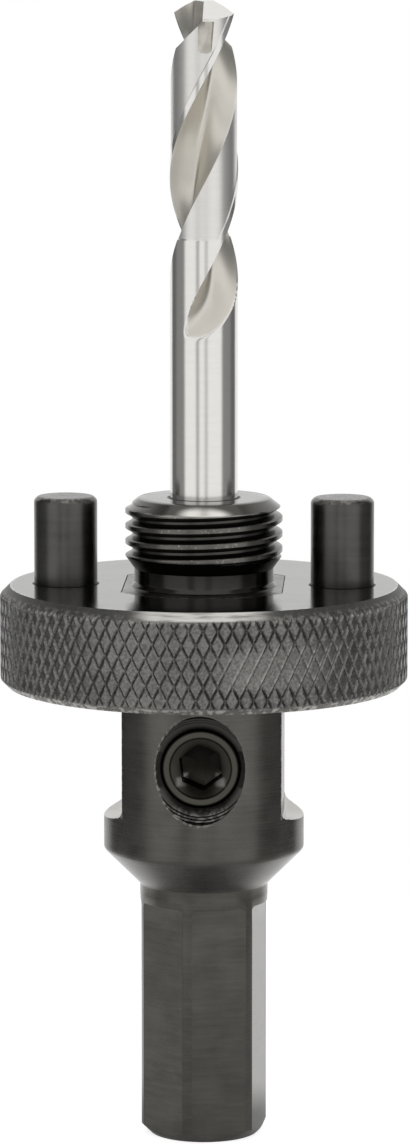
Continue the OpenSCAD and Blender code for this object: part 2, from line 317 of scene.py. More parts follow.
class Growth:
    """A Geometry Nodes tree being built, with a named input for each size."""

    def __init__(self, name, sizes):
        self.tree = bpy.data.node_groups.new(name, "GeometryNodeTree")
        face = self.tree.interface
        face.new_socket("Geometry", in_out="INPUT", socket_type="NodeSocketGeometry")
        face.new_socket("Geometry", in_out="OUTPUT", socket_type="NodeSocketGeometry")
        self.sizes = sizes
        self.items = {}
        for label, value in sizes.items():
            kind = "NodeSocketInt" if isinstance(value, int) else "NodeSocketFloat"
            self.items[label] = face.new_socket(label, in_out="INPUT", socket_type=kind)
        self.entry = self.tree.nodes.new("NodeGroupInput")

    def size(self, label):
        return Field(self.tree, self.entry.outputs[label])

    def node(self, kind, **inputs):
        node = self.tree.nodes.new(kind)
        for label, value in inputs.items():
            feed(self.tree, node.inputs[label.replace("_", " ")], value)
        return node

    def band(self, columns, rows, place, marks=None):
        """A closed band of columns and rows. place(turn, row) gives radius, angle and height, and
        marks(turn, row) the named attributes that its finish reads."""
        grid = self.node("GeometryNodeMeshGrid", Size_X=1.0, Size_Y=1.0)
        feed(self.tree, grid.inputs["Vertices X"], columns + 1)
        feed(self.tree, grid.inputs["Vertices Y"], rows + 1)
        at = self.node("GeometryNodeInputPosition")
        across, along, _ = split(self.tree, Field(self.tree, at.outputs[0]))
        turn = ((across + 0.5) * columns).math("ROUND") / columns
        row = ((along + 0.5) * rows).math("ROUND")
        mesh = Field(self.tree, grid.outputs["Mesh"])
        for label, value in (marks(turn, row) if marks else {}).items():
            store = self.node("GeometryNodeStoreNamedAttribute", Geometry=mesh, Name=label, Value=value)
            mesh = Field(self.tree, store.outputs[0])
        radius, angle, height = place(turn, row)
        spot = vector(self.tree, radius * angle.math("COSINE") * MM,
                      radius * angle.math("SINE") * MM, height * MM)
        moved = self.node("GeometryNodeSetPosition", Geometry=mesh, Position=spot)
        return Field(self.tree, moved.outputs[0])

    def finish(self, geometry, material):
        """Closes the seams and sets the finish."""
        merged = self.node("GeometryNodeMergeByDistance", Geometry=geometry, Distance=0.002 * MM)
        real = self.node("GeometryNodeRealizeInstances", Geometry=Field(self.tree, merged.outputs[0]))
        coat = self.node("GeometryNodeSetMaterial", Geometry=Field(self.tree, real.outputs[0]))
        coat.inputs["Material"].default_value = material
        out = self.tree.nodes.new("NodeGroupOutput")
        self.tree.links.new(coat.outputs[0], out.inputs[0])

    def apply(self, piece):
        """Runs the tree on a piece and leaves a plain mesh whose faces point outwards."""
        modifier = piece.modifiers.new(self.tree.name, "NODES")
        modifier.node_group = self.tree
        for label, item in self.items.items():
            modifier[item.identifier] = self.sizes[label]
        settle(piece)
        mesh = piece.data
        finish = mesh.materials[-1]
        mesh.materials.clear()
        mesh.materials.append(finish)
        point_outwards(mesh)
        return piece


def point_outwards(mesh):
    work = bmesh.new()
    work.from_mesh(mesh)
    bmesh.ops.dissolve_degenerate(work, dist=1e-7, edges=work.edges)
    bmesh.ops.recalc_face_normals(work, faces=work.faces)
    work.to_mesh(mesh)
    work.free()


# Finishes

class Finish:
    """A material being built, with the place on the piece as fields in millimetres."""

    def __init__(self, name, tint, roughness, metallic=1.0):
        self.material = bpy.data.materials.new(name)
        self.material.use_nodes = True
        self.tree = self.material.node_tree
        self.shader = self.tree.nodes["Principled BSDF"]
        self.shader.inputs["Metallic"].default_value = metallic
        self.shader.inputs["Roughness"].default_value = roughness
        self.shader.inputs["Base Color"].default_value = (*tint, 1.0)
        self.tint = tint
        self.roughness = roughness
        place = Field(self.tree, self.tree.nodes.new("ShaderNodeTexCoord").outputs["Object"])
        x, y, z = split(self.tree, place)
        self.x, self.y, self.z = x / MM, y / MM, z / MM
        self.radius = (self.x * self.x + self.y * self.y).math("SQRT")

    def noise(self, x, y, z, scale=1.0, detail=2.0, roughness=0.5):
        """Noise from 0 to 1, about 0.5, at a point of its own."""
        node = self.tree.nodes.new("ShaderNodeTexNoise")
        feed(self.tree, node.inputs["Vector"], vector(self.tree, x, y, z))
        node.inputs["Scale"].default_value = scale
        node.inputs["Detail"].default_value = detail
        node.inputs["Roughness"].default_value = roughness
        return Field(self.tree, node.outputs["Fac"])

    def attribute(self, label):
        node = self.tree.nodes.new("ShaderNodeAttribute")
        node.attribute_name = label
        return Field(self.tree, node.outputs["Fac"])

    def spots(self, scale, detail=2.0):
        return self.noise(self.x, self.y, self.z, scale, detail)

    def turning(self, along, round_scale=1.5, fine=6.0, detail=3.0):
        """Marks that run round the axis and change quickly along it."""
        spin = self.radius.most(0.5)
        return self.noise(self.x / spin * round_scale, self.y / spin * round_scale,
                          along * fine, 1.0, detail, 0.65)

    def mix(self, low, high, share):
        """Colour between two, by a field."""
        node = self.tree.nodes.new("ShaderNodeMix")
        node.data_type = "RGBA"
        feed(self.tree, node.inputs["Factor"], share)
        for socket, colour in ((node.inputs["A"], low), (node.inputs["B"], high)):
            if isinstance(colour, Field):
                self.tree.links.new(colour.socket, socket)
            else:
                socket.default_value = (*colour, 1.0)
        return Field(self.tree, node.outputs["Result"])

    def colour(self, field):
        self.tree.links.new(field.socket, self.shader.inputs["Base Color"])

    def rough(self, field):
        self.tree.links.new(field.socket, self.shader.inputs["Roughness"])

    def bump(self, height, distance, strength=1.0):
        """Bump of a height field, whose full range stands for a distance in millimetres."""
        node = self.tree.nodes.new("ShaderNodeBump")
        node.inputs["Strength"].default_value = strength
        node.inputs["Distance"].default_value = distance * MM
        self.tree.links.new(height.socket, node.inputs["Height"])
        self.tree.links.new(node.outputs[0], self.shader.inputs["Normal"])


def blackened(name, tint, roughness, fine=6.0, along=None, worn=None, edges=None, depth=0.0006):
    """Blackened steel with fine machining marks, cloudy patches, and specks of the worn colour on the edges
    given: wear, and painted edge highlights.
    """
    finish = Finish(name, tint, roughness)
    way = along(finish) if along else finish.z + finish.radius * 0.83
    marks = finish.turning(way, fine=fine)
    patches = finish.spots(0.3, 4.0)
    shade = (marks * 0.9 + patches * 1.1 - 0.5).within(0.0, 1.0)
    base = finish.mix([c * 0.72 for c in tint], [c * 1.35 for c in tint], shade)
    if edges:
        # Painted edge highlights, broken into specks like wear.
        specks = finish.spots(2.2, 3.0).rise(0.42, 0.62)
        base = finish.mix(base, worn, edges(finish) * specks)
    finish.colour(base)
    finish.rough(patches * 0.16 + marks * 0.12 + (roughness - 0.14))
    finish.bump(marks, depth)
    return finish.material


def ring_edge(finish, radius, height, reach):
    """1 on a turned edge at a radius and height, fading within reach."""
    return finish.radius.near(radius, reach) * finish.z.near(height, reach)


def sink_rim_highlight(finish):
    """Painted highlight on the rim of the set screw's countersink, on its front and strongest to the lower left.
    """
    up = finish.z - SCREW_Z
    away = (finish.x * finish.x + up * up).math("SQRT")
    on_rim = (away + finish.y + COLLAR_R).near(SINK_R, 0.3) * finish.radius.near(COLLAR_R, 0.2)
    front = 1 - finish.y.rise(-7.0, -6.0)
    # Painted highlight: brighter towards the lower left.
    low_left = (up * -0.4 - finish.x * 0.9).rise(-2.0, 4.0)
    return on_rim * front * (low_left * 0.3 + 0.05)


def sink_wear_and_highlights(finish):
    """Wear and painted highlights of the countersink: the painted highlight on its rim, and specks of painted
    highlight in its lower part.
    """
    return sink_rim_highlight(finish).most((1 - finish.z.rise(SCREW_Z - 4.6, SCREW_Z - 3.4)) * 0.3)


def body_edge_wear_and_highlights(finish):
    """Where the body's black is worn through, and where edge highlights are painted: countersink, ledges,
    shoulder and collar edge.
    """
    flat_edge = finish.radius.rise(COLLAR_R - 0.12, COLLAR_R - 0.03)
    beside = finish.x.math("ABSOLUTE").near(FLAT_X, 0.12)
    above = finish.z.rise(LEDGE_Z + 0.4, LEDGE_Z + 0.8)
    shoulder = ring_edge(finish, COLLAR_R - 0.05, SHOULDER_Z, 0.25)
    return sink_rim_highlight(finish).most(shoulder).most(flat_edge * beside * above)


def thread_finish(settings):
    """Black thread: smooth chamfer with a painted reflection on its front and a painted highlight along its lower
    edge, lightly rubbed crests, and colour darkened to near black under the lead-in.
    """
    finish = Finish("blackened_thread_steel", settings.tint, 0.26)
    low = SHOULDER_Z + RELIEF_H + LEAD_IN_H
    grit = finish.spots(3.0, 3.0)
    base = finish.mix([c * 0.1 for c in settings.tint], [c * 0.65 for c in settings.tint],
                      finish.z.rise(low - 0.1, low + 0.5))
    crest = finish.radius.rise(THREAD_R - 0.1, THREAD_R) * finish.z.rise(low, low + 0.3)
    chamfer = finish.z.rise(NOSE_Z - NOSE_CHAMFER_H, NOSE_Z - NOSE_CHAMFER_H + 0.1)
    base = finish.mix(base, [c * 1.3 for c in settings.tint], crest.most(chamfer * 0.3))
    front = 1 - finish.y.rise(-7.4, -6.6)
    # Painted reflection on the front of the chamfer.
    chamfer_front_reflection = chamfer * front * (1 - (finish.x - 0.4).math("ABSOLUTE").rise(1.4, 3.2))
    # Painted highlight along the chamfer's lower edge, on the front half.
    lip = finish.z.near(NOSE_Z - NOSE_CHAMFER_H, 0.14) * (1 - finish.y.rise(-6.5, -4.0)) * 0.25
    wear = (crest * grit.rise(0.55, 0.75) * 0.25).most(chamfer_front_reflection).most(lip)
    finish.colour(finish.mix(base, [c * 1.5 for c in settings.worn_tint], wear))
    finish.rough(grit * 0.1 + 0.2 - chamfer * 0.08)
    return finish.material


def cutter_arcs(finish):
    """Distance from the side cutter's axis, for the arcs that it leaves on the flats."""
    up = finish.z - (LEDGE_Z + CUTTER_R)
    return (finish.y * finish.y + up * up).math("SQRT")


# Arbor body

def smooth_least(a, b, blend):
    """The lesser of two lengths, rounded where they meet."""
    share = max(blend - abs(a - b), 0.0) / blend
    return min(a, b) - share * share * blend / 4


def hexagon_at(angle):
    """Radius of the hexagon's bar at an angle, and the place across the nearest flat."""
    sixth = math.pi / 3
    off = (angle - math.radians(HEX_TURN - 90) + sixth / 2) % sixth - sixth / 2
    return smooth_least(BAR_R, HEX_X / math.cos(off), 0.03), HEX_X * math.tan(off)


def flat_top(across):
    """Height of a hexagon flat's end, lower in its round corners."""
    corner = math.sqrt(BAR_R ** 2 - HEX_X ** 2) + 0.1 - FLAT_CORNER_R
    past = min(max(abs(across) - corner, 0.0), FLAT_CORNER_R * 0.88)
    return HEX_H - FLAT_CORNER_R + math.sqrt(FLAT_CORNER_R ** 2 - past ** 2)


def ledge_height(y):
    return LEDGE_Z + CUTTER_R - math.sqrt(CUTTER_R ** 2 - y ** 2)


def body_profile(angle):
    """Outline of the body at an angle, from its end face up over the shoulder."""
    hexagon, across = hexagon_at(angle)
    top = flat_top(across)
    end_r = BAR_R - END_CHAMFER
    sine = abs(math.sin(angle))
    cosine = max(abs(math.cos(angle)), 0.1)
    foot = []
    for turned_up in (0.0, math.pi / 6, math.pi / 3, math.pi / 2):
        r = (FLAT_X + LEDGE_R * (1 - math.sin(turned_up))) / cosine
        r = smooth_least(COLLAR_R, r, 0.06)
        foot.append((r, ledge_height(r * sine) + 0.01 + LEDGE_R * (1 - math.cos(turned_up))))
    flat = foot[-1][0]
    return rounded([
        (end_r - 1.0, 0.0, 0.0, 1),
        (end_r, 0.0, 0.1, 3),
        (hexagon, hexagon - end_r, 0.12, 10),
        (hexagon, top, 0.35, 1),
        (BAR_R, top + 0.004, 0.06, 2),
        (BAR_R, CONE_Z, 0.25, 8),
        (COLLAR_R, COLLAR_Z, 0.5, 9),
        (COLLAR_R, ledge_height(COLLAR_R * sine), 0.1, 4),
        *((r, z, 0.25, 1) for r, z in foot[:-1]),
        (*foot[-1], 0.25, 24),
        (flat, SHOULDER_Z, 0.12, 1),
        (RELIEF_R - 2.0, SHOULDER_Z, 0.0, 1),
    ])


def body_columns():
    """Angles of the body's columns: even ones, and closer ones at the edges of the flats."""
    hex_half = math.degrees(math.acos(HEX_X / BAR_R))
    flat_half = math.degrees(math.acos(FLAT_X / COLLAR_R))
    normals = [(HEX_TURN - 90 + 60 * k, hex_half) for k in range(6)] + [(0, flat_half), (180, flat_half)]
    edges = [(normal + side * half) % 360 for normal, half in normals for side in (-1, 1)]
    close = [edge + step for edge in edges for step in (-0.7, -0.4, -0.15, 0.15, 0.4, 0.7)]
    close += [normal + side * (flat_half - step) for normal in (0, 180) for side in (-1, 1)
              for step in (1.25, 1.9, 2.6, 3.35, 4.1, 4.9, 5.7, 6.5)]
    even = [a * 1.5 for a in range(240)]
    clear = [a for a in even if all(abs((a - e + 180) % 360 - 180) > 1.0 for e in edges)]
    ordered = sorted(a % 360 for a in close + clear)
    kept = [a for a, b in zip(ordered, ordered[1:] + [360 + ordered[0]]) if b - a > 0.05]
    return [math.radians(a) for a in kept]


def thread_growth(settings, finish):
    """The nose's thread between relief and top face, with rows that climb with the thread."""
    low = SHOULDER_Z + RELIEF_H
    high = NOSE_Z - 0.05
    columns = 240
    turn_rows = 20
    rows = turn_rows + math.ceil((high - low) / (settings.pitch / MM) * turn_rows) + 1
    growth = Growth("Nose thread", {
        "Pitch": settings.pitch / MM, "Depth": settings.thread_depth / MM,
        "Crest width": settings.crest / MM, "Outside radius": THREAD_R,
        "Start turn": settings.thread_turn / (2 * math.pi),
        "Columns": columns, "Rows in a turn": turn_rows, "Rows": rows,
    })
    pitch = growth.size("Pitch")
    turn_step = growth.size("Rows in a turn")

    def place(turn, row):
        climb = (row - turn_step + turn_step * turn) * pitch / turn_step
        height = (climb + low).within(low, high)
        phase = (height / pitch - turn + growth.size("Start turn")).math("FRACT")
        off_crest = (phase - 0.5).math("ABSOLUTE") * pitch - growth.size("Crest width") / 2
        flank = growth.size("Depth") * math.tan(math.radians(30))
        share = (off_crest / flank).within(0.0, 1.0)
        crest_r = growth.size("Outside radius")
        lead_in = RELIEF_R + (height - low) * ((THREAD_R - RELIEF_R) / LEAD_IN_H)
        chamfer = crest_r - (height - (NOSE_Z - NOSE_CHAMFER_H)) * (NOSE_CHAMFER / NOSE_CHAMFER_H)
        fade = height.rise(low + LEAD_IN_H - 0.2, low + LEAD_IN_H + 0.2)
        radius = (crest_r - growth.size("Depth") * share * fade).least(lead_in).least(chamfer)
        return radius, turn * (2 * math.pi), height

    band = growth.band(growth.size("Columns"), growth.size("Rows"), place)
    growth.finish(band, finish)
    piece = add_object("thread_band", bpy.data.meshes.new("thread_band"))
    return growth.apply(piece), columns, low, high


def weld(name, parts):
    """One closed piece from parts that share their rims, each keeping its finish."""
    work = bmesh.new()
    mesh = bpy.data.meshes.new(name)
    for part in parts:
        old = part.data
        done = len(work.faces)
        work.from_mesh(old)
        work.faces.ensure_lookup_table()
        finish = old.materials[0]
        if finish.name not in mesh.materials:
            mesh.materials.append(finish)
        for face in work.faces[done:]:
            face.material_index = mesh.materials.find(finish.name)
        bpy.data.objects.remove(part)
        bpy.data.meshes.remove(old)
    bmesh.ops.remove_doubles(work, verts=work.verts, dist=0.001 * MM)
    bmesh.ops.recalc_face_normals(work, faces=work.faces)
    work.to_mesh(mesh)
    work.free()
    return add_object(name, mesh)


def capsule(radius, low, high, y, steps=8):
    """Rings of a round-ended bar that stands at y."""
    ends = []
    for k in range(1, steps + 1):
        a = math.pi / 2 * k / steps
        ends.append((radius * math.sin(a), radius * math.cos(a)))
    profile = [(r, low - drop) for r, drop in ends] + [(r, high + rise) for r, rise in reversed(ends)]
    return turned(profile, 32, lambda r, a, z: (r * math.cos(a), y + r * math.sin(a), z))


def make_body(settings):
    black = settings.tint
    worn = settings.worn_tint
    turned_black = blackened("blackened_turned_steel", black, settings.roughness,
                             worn=worn, edges=body_edge_wear_and_highlights)
    milled_black = blackened("blackened_milled_steel", black, settings.roughness - 0.04,
                             fine=3.0, along=cutter_arcs, worn=worn, edges=body_edge_wear_and_highlights)
    # Two copies of the hexagon's steel, by side: flats facing -X painted lighter and rougher as the lit side,
    # flats facing +X darker and glossier.
    hex_black = blackened("blackened_hexagon_steel", [c * 1.1 for c in black], settings.roughness - 0.15,
                          fine=3.0, along=lambda finish: finish.z)
    hex_left_painted_lighter = blackened("blackened_hexagon_steel_left_painted_lighter", [c * 1.28 for c in black], settings.roughness,
                         fine=2.4, along=lambda finish: finish.z, depth=0.002)
    # Upward-facing faces at the ledges, in a lighter and glossier steel.
    ledge_steel = blackened("light_ledge_steel", [c * 0.85 for c in worn], 0.24,
                            fine=3.0, along=cutter_arcs)
    thread_black = thread_finish(settings)
    top_black = blackened("blackened_nose_face", black, 0.14, fine=2.0, depth=0.0002)
    neck_black = blackened("blackened_neck_steel", [c * 0.42 for c in black], 0.14, fine=2.0, depth=0.0001)
    bore_black = blackened("blackened_bore_steel", [c * 0.6 for c in black], 0.4)
    # The countersink's tint is darker than the collar's: painted shade in the recess.
    sink_shaded_black = blackened("blackened_countersink_steel", [c * 0.6 for c in black], 0.3,
                           worn=worn, edges=sink_wear_and_highlights)

    angles = body_columns()
    profiles = [body_profile(a) for a in angles]
    rings = [[(r * math.cos(a), r * math.sin(a), z) for a, (r, z) in zip(angles, row)]
             for row in zip(*profiles)]
    piece = solid("steel_body", rings, turned_black)
    piece.data.materials.append(milled_black)
    piece.data.materials.append(hex_black)
    piece.data.materials.append(hex_left_painted_lighter)
    piece.data.materials.append(ledge_steel)
    flat_share = math.cos(math.radians(1.0))
    for face in piece.data.polygons:
        across = abs(face.normal.x)
        inside = math.hypot(face.center.x, face.center.y) < (BAR_R - 0.05) * MM
        if face.center.z > (LEDGE_Z + LEDGE_R) * MM and across > flat_share:
            face.material_index = 1
        elif END_CHAMFER * MM < face.center.z < HEX_H * MM and inside:
            # Painted light: each flat takes the lighter or the darker copy by the side it faces.
            face.material_index = 2 if face.normal.x > 0 else 3
        elif face.normal.z > 0.3 and abs(face.center.z / MM - LEDGE_Z - LEDGE_R) < 1.0:
            face.material_index = 4

    band, columns, low, high = thread_growth(settings, thread_black)
    root = rounded([(7.35, 53.0, 0, 1), (7.35, SHOULDER_Z, 0.1, 1), (RELIEF_R, SHOULDER_Z + 0.4, 0.35, 1),
                    (RELIEF_R, low, 0, 1)])
    rim_r = THREAD_R - (high - (NOSE_Z - NOSE_CHAMFER_H)) * NOSE_CHAMFER / NOSE_CHAMFER_H
    top = [(rim_r, high), (rim_r - 0.1, NOSE_Z), (rim_r - 1.0, NOSE_Z)]
    nose = weld("nose", [
        solid("nose_root", turned(root, columns), neck_black, high_cap=False),
        band,
        solid("nose_top", turned(top, columns), top_black, low_cap=False),
    ])
    cut(piece, [nose], "UNION")

    hole_r = DRILL_R + HOLE_GAP
    drill_hole = turned([(0.02, DRILL_Z - hole_r / math.tan(math.radians(59))), (hole_r, DRILL_Z),
                         (hole_r, NOSE_Z - 0.25), (hole_r + 1.25, NOSE_Z + 1.0)], 96)
    sink_h = SINK_R - SCREW_R - HOLE_GAP
    step = 0.09
    sink = [(SINK_R - sink_h, 0.0), (SINK_R - sink_h, COLLAR_R - sink_h)]
    for share in (0.45, 0.62, 0.79):
        r = SINK_R - sink_h * (1 - share)
        depth = COLLAR_R - sink_h * (1 - share)
        sink += [(r - step, depth - step), (r + step * 0.6, depth - step * 0.6), (r + step, depth + step)]
    sink += [(SINK_R, COLLAR_R), (SINK_R + 1.0, COLLAR_R + 1.0)]
    cut(piece, [
        solid("drill_hole", drill_hole, bore_black),
        solid("screw_hole", turned(sink, 96, facing(-1, SCREW_Z)), sink_shaded_black),
        solid("detent_groove", capsule(GROOVE_R, BALL_Z - PLATE_TRAVEL, BALL_Z, BALL_Y), bore_black),
    ])
    smooth(piece, 32)
    dress(piece, "arbor", "body_steel", "arbor_body")


def smooth(piece, sharp):
    """Smooth shading but for edges sharper than an angle in degrees, with faces outwards."""
    point_outwards(piece.data)
    piece.data.shade_smooth()
    piece.data.set_sharp_from_angle(angle=math.radians(sharp))


# Drive plate and its pins

def knurl_growth(settings, finish):
    """The plate's rim: two crossing families of grooves, between the chamfers."""
    columns = settings.knurl_count * 8
    step = settings.knurl_row / MM / 16
    rows = 2 * int(PLATE_T / step / 2)
    growth = Growth("Knurled rim", {
        "Columns": columns, "Rows": rows, "Grooves": settings.knurl_count,
        "Row height": settings.knurl_row / MM, "Depth": settings.knurl_depth / MM,
        "Flat share": settings.knurl_flat, "Radius": PLATE_R,
        "Top radius": PLATE_R - PLATE_CHAMFER - 0.2, "Bottom radius": PLATE_R - PLATE_EDGE - 0.2,
    })

    def groove(place):
        return (place.math("FRACT") * 2 - 1).math("ABSOLUTE")

    def spot(turn, row):
        shifted = turn + row.math("MODULO", 2.0) * 0.5 / growth.size("Columns")
        last = row.math("COMPARE", growth.size("Rows"), 0.5)
        height = row * (growth.size("Row height") / 16)
        height = height + last * (PLATE_T - height)
        across = shifted * growth.size("Grooves")
        along = height / growth.size("Row height")
        angle = shifted * (2 * math.pi)
        worn = (angle.math("COSINE") * 0.45 - angle.math("SINE") * 0.9).rise(0.9, 0.98)
        dull = (angle.math("COSINE") * -0.17 - angle.math("SINE") * 0.985).rise(0.96, 0.995)
        return angle, height, across, along, worn * height.near(4.5, 2.9), dull

    def place(turn, row):
        angle, height, across, along, worn, dull = spot(turn, row)
        rising = groove(across - along) * (1 - worn * 0.22)
        falling = groove(across + along) * (1 - worn * 0.31)
        deepest = rising.most(falling) * (1 - dull * 0.14)
        share = ((deepest - growth.size("Flat share")) / (1 - growth.size("Flat share"))).within(0.0, 1.0)
        knurled = growth.size("Radius") - growth.size("Depth") * share
        low_edge = growth.size("Bottom radius") + height
        top_edge = growth.size("Top radius") + PLATE_T - height
        return knurled.least(low_edge).least(top_edge), angle, height + PLATE_Z

    band = growth.band(growth.size("Columns"), growth.size("Rows"), place)
    split_quads = growth.node("GeometryNodeTriangulate", Mesh=band)
    split_quads.quad_method = "SHORTEST_DIAGONAL"
    growth.finish(Field(growth.tree, split_quads.outputs[0]), finish)
    piece = add_object("knurl_band", bpy.data.meshes.new("knurl_band"))
    return growth.apply(piece), columns


def double_flat(radius, half_width, low, high):
    """Rings of a bar with two flats towards +X and -X."""
    columns = 180
    ring = []
    for k in range(columns):
        a = 2 * math.pi * k / columns
        x = max(-half_width, min(half_width, radius * math.cos(a)))
        ring.append((x, radius * math.sin(a)))
    return [[(x, y, z) for x, y in ring] for z in (low, high)]


def knurl_finish(settings):
    """Black knurl: grey worn tips, dark grooves, painted edge highlights in specks along both edges, and a
    painted reflection on the chamfer at the front.
    """
    finish = Finish("blackened_knurl", settings.rim_tint, 0.38)
    patches = finish.spots(0.25, 3.0)
    grit = finish.spots(4.0, 2.0)
    chamfer_z = SHOULDER_Z - PLATE_CHAMFER
    chamfer = finish.z.rise(chamfer_z - 0.1, chamfer_z + 0.1)
    tip = finish.radius.rise(PLATE_R - 0.3, PLATE_R - 0.03).most(chamfer * 0.35)
    mottle = (grit * 1.4 + patches * 0.8 - 0.6).rise(0.25, 0.75)
    base = finish.mix(settings.groove_tint, settings.rim_tint, tip * 0.6 + grit.rise(0.35, 0.65) * 0.4)
    base = finish.mix(base, [c * 2.0 for c in settings.rim_tint], mottle * tip * 0.45)
    round_share = finish.y.math("ARCTAN2", finish.x) / (2 * math.pi)
    slant = (round_share * settings.knurl_count - (finish.z - PLATE_Z) / (settings.knurl_row / MM)).math("FRACT")
    worn = ((finish.x * 0.45 - finish.y * 0.9) / finish.radius).rise(0.9, 0.98)
    worn = worn * finish.z.near(PLATE_Z + 4.5, 2.9)
    specks = finish.spots(1.6, 3.0).rise(0.44, 0.6)
    line = slant.near(0.84, 0.14) * (worn * 0.8 + 0.2)
    base = finish.mix(base, settings.worn_tint, line * (specks * 0.3 + 0.2))
    low = 1 - finish.z.rise(PLATE_Z + PLATE_EDGE - 0.1, PLATE_Z + PLATE_EDGE + 0.2)
    edge = finish.z.near(PLATE_Z + PLATE_T - PLATE_CHAMFER, 0.5).most(low)
    # Painted edge highlights in specks along the top chamfer and the bottom edge, with the bottom edge also
    # lightened all round.
    bright = edge * (specks * (low * 0.5 + 0.3) + low * 0.25)
    # Painted reflection on the top chamfer, on the front of the rim.
    front = (1 - finish.y.rise(-12.0, -9.0)) * finish.x.rise(-7.0, -4.0) * (1 - finish.x.rise(5.0, 8.0))
    streaks = finish.noise(finish.x * 0.3, finish.y * 0.3, finish.z * 3.0).rise(0.3, 0.55)
    rubbed = front * chamfer * (streaks * 0.6 + 0.4)
    base = finish.mix(base, [c * 0.45 for c in settings.rim_tint], chamfer * 0.6)
    base = finish.mix(base, [c * 1.35 for c in settings.worn_tint], (bright * 0.7).most(rubbed))
    finish.colour(base)
    finish.rough(0.5 - tip * 0.2 + grit * 0.1)
    finish.bump(grit, 0.006, 0.6)
    return finish.material


def make_plate(settings):
    rim = knurl_finish(settings)

    # Painted edge highlight round the top face's outer edge, broken into specks like wear.
    def rim_edge_highlight(finish):
        return finish.radius.rise(PLATE_R - PLATE_CHAMFER - 0.55, PLATE_R - PLATE_CHAMFER - 0.2)

    face = blackened("blackened_plate_face", settings.face_tint, settings.face_roughness,
                     along=lambda finish: finish.radius, worn=settings.worn_tint, edges=rim_edge_highlight, depth=0.0002)
    bore = blackened("blackened_plate_bore", settings.groove_tint, 0.4)
    band, columns = knurl_growth(settings, rim)
    low_r = PLATE_R - PLATE_EDGE - 0.2
    top_r = PLATE_R - PLATE_CHAMFER - 0.2
    low = [(low_r - 2, PLATE_Z), (low_r, PLATE_Z)]
    top = [(top_r, SHOULDER_Z), (top_r - 2, SHOULDER_Z)]
    piece = weld("knurled_plate", [
        solid("plate_under", turned(low, columns), face, high_cap=False),
        band,
        solid("plate_top", turned(top, columns), face, low_cap=False),
    ])
    bore_r = COLLAR_R + SLIDE_GAP
    hole_r = PIN_PRESS_R + 0.01
    pin_hole = [(hole_r, PLATE_Z - 1.0), (hole_r, SHOULDER_Z - PIN_HOLE_EDGE),
                (hole_r + PIN_HOLE_EDGE + 1.0, SHOULDER_Z + 1.0)]
    cutters = [solid("plate_bore", double_flat(bore_r, FLAT_X + SLIDE_GAP, PLATE_Z - 1, SHOULDER_Z + 1), bore)]
    for side in (-1, 1):
        def beside(r, a, z, side=side):
            return (side * PIN_X + r * math.cos(a), r * math.sin(a), z)
        cutters.append(solid("pin_hole", turned(pin_hole, 72, beside), bore))
    detent = [(BALL_R + HOLE_GAP, 5.0), (BALL_R + HOLE_GAP, GRUB_FACE_Y - GRUB_LEN),
              (GRUB_R + HOLE_GAP, GRUB_FACE_Y - GRUB_LEN), (GRUB_R + HOLE_GAP, PLATE_R + 1)]
    cutters.append(solid("detent_hole", turned(detent, 64, facing(1, BALL_Z)), bore))
    cut(piece, cutters)
    smooth(piece, 22)
    dress(piece, "plate", "plate_steel", "drive_plate")


def make_pins(settings):
    # The pins' top edges take a painted highlight, broken into specks like wear.
    black = blackened("blackened_pin", settings.pin_tint, settings.pin_roughness, fine=1.2,
                      along=lambda finish: finish.z,
                      worn=settings.worn_tint,
                      edges=lambda finish: finish.z.near(SHOULDER_Z + PIN_UP - 0.1, 0.4) * 0.25, depth=0.0003)
    low = PLATE_Z + PIN_SHORT
    high = SHOULDER_Z + PIN_UP
    profile = rounded([
        (PIN_R - 1.2, low, 0, 1), (PIN_PRESS_R - 0.4, low, 0.1, 1), (PIN_PRESS_R, low + 0.4, 0.3, 4),
        (PIN_PRESS_R, SHOULDER_Z, 0.02, 1), (PIN_R, SHOULDER_Z, 0.02, 8),
        (PIN_R, high - 0.4, 0.5, 1), (PIN_R - 0.4, high, 0.5, 1), (PIN_R - 1.4, high, 0, 1),
    ])
    for side, name in ((-1, "left"), (1, "right")):
        def beside(r, a, z, side=side):
            return (side * PIN_X + r * math.cos(a), r * math.sin(a), z)
        piece = solid(f"{name}_pin", turned(profile, 72, beside), black)
        smooth(piece, 35)
        dress(piece, "plate", "pin_steel", f"drive_pin_{name}")


# Pilot drill

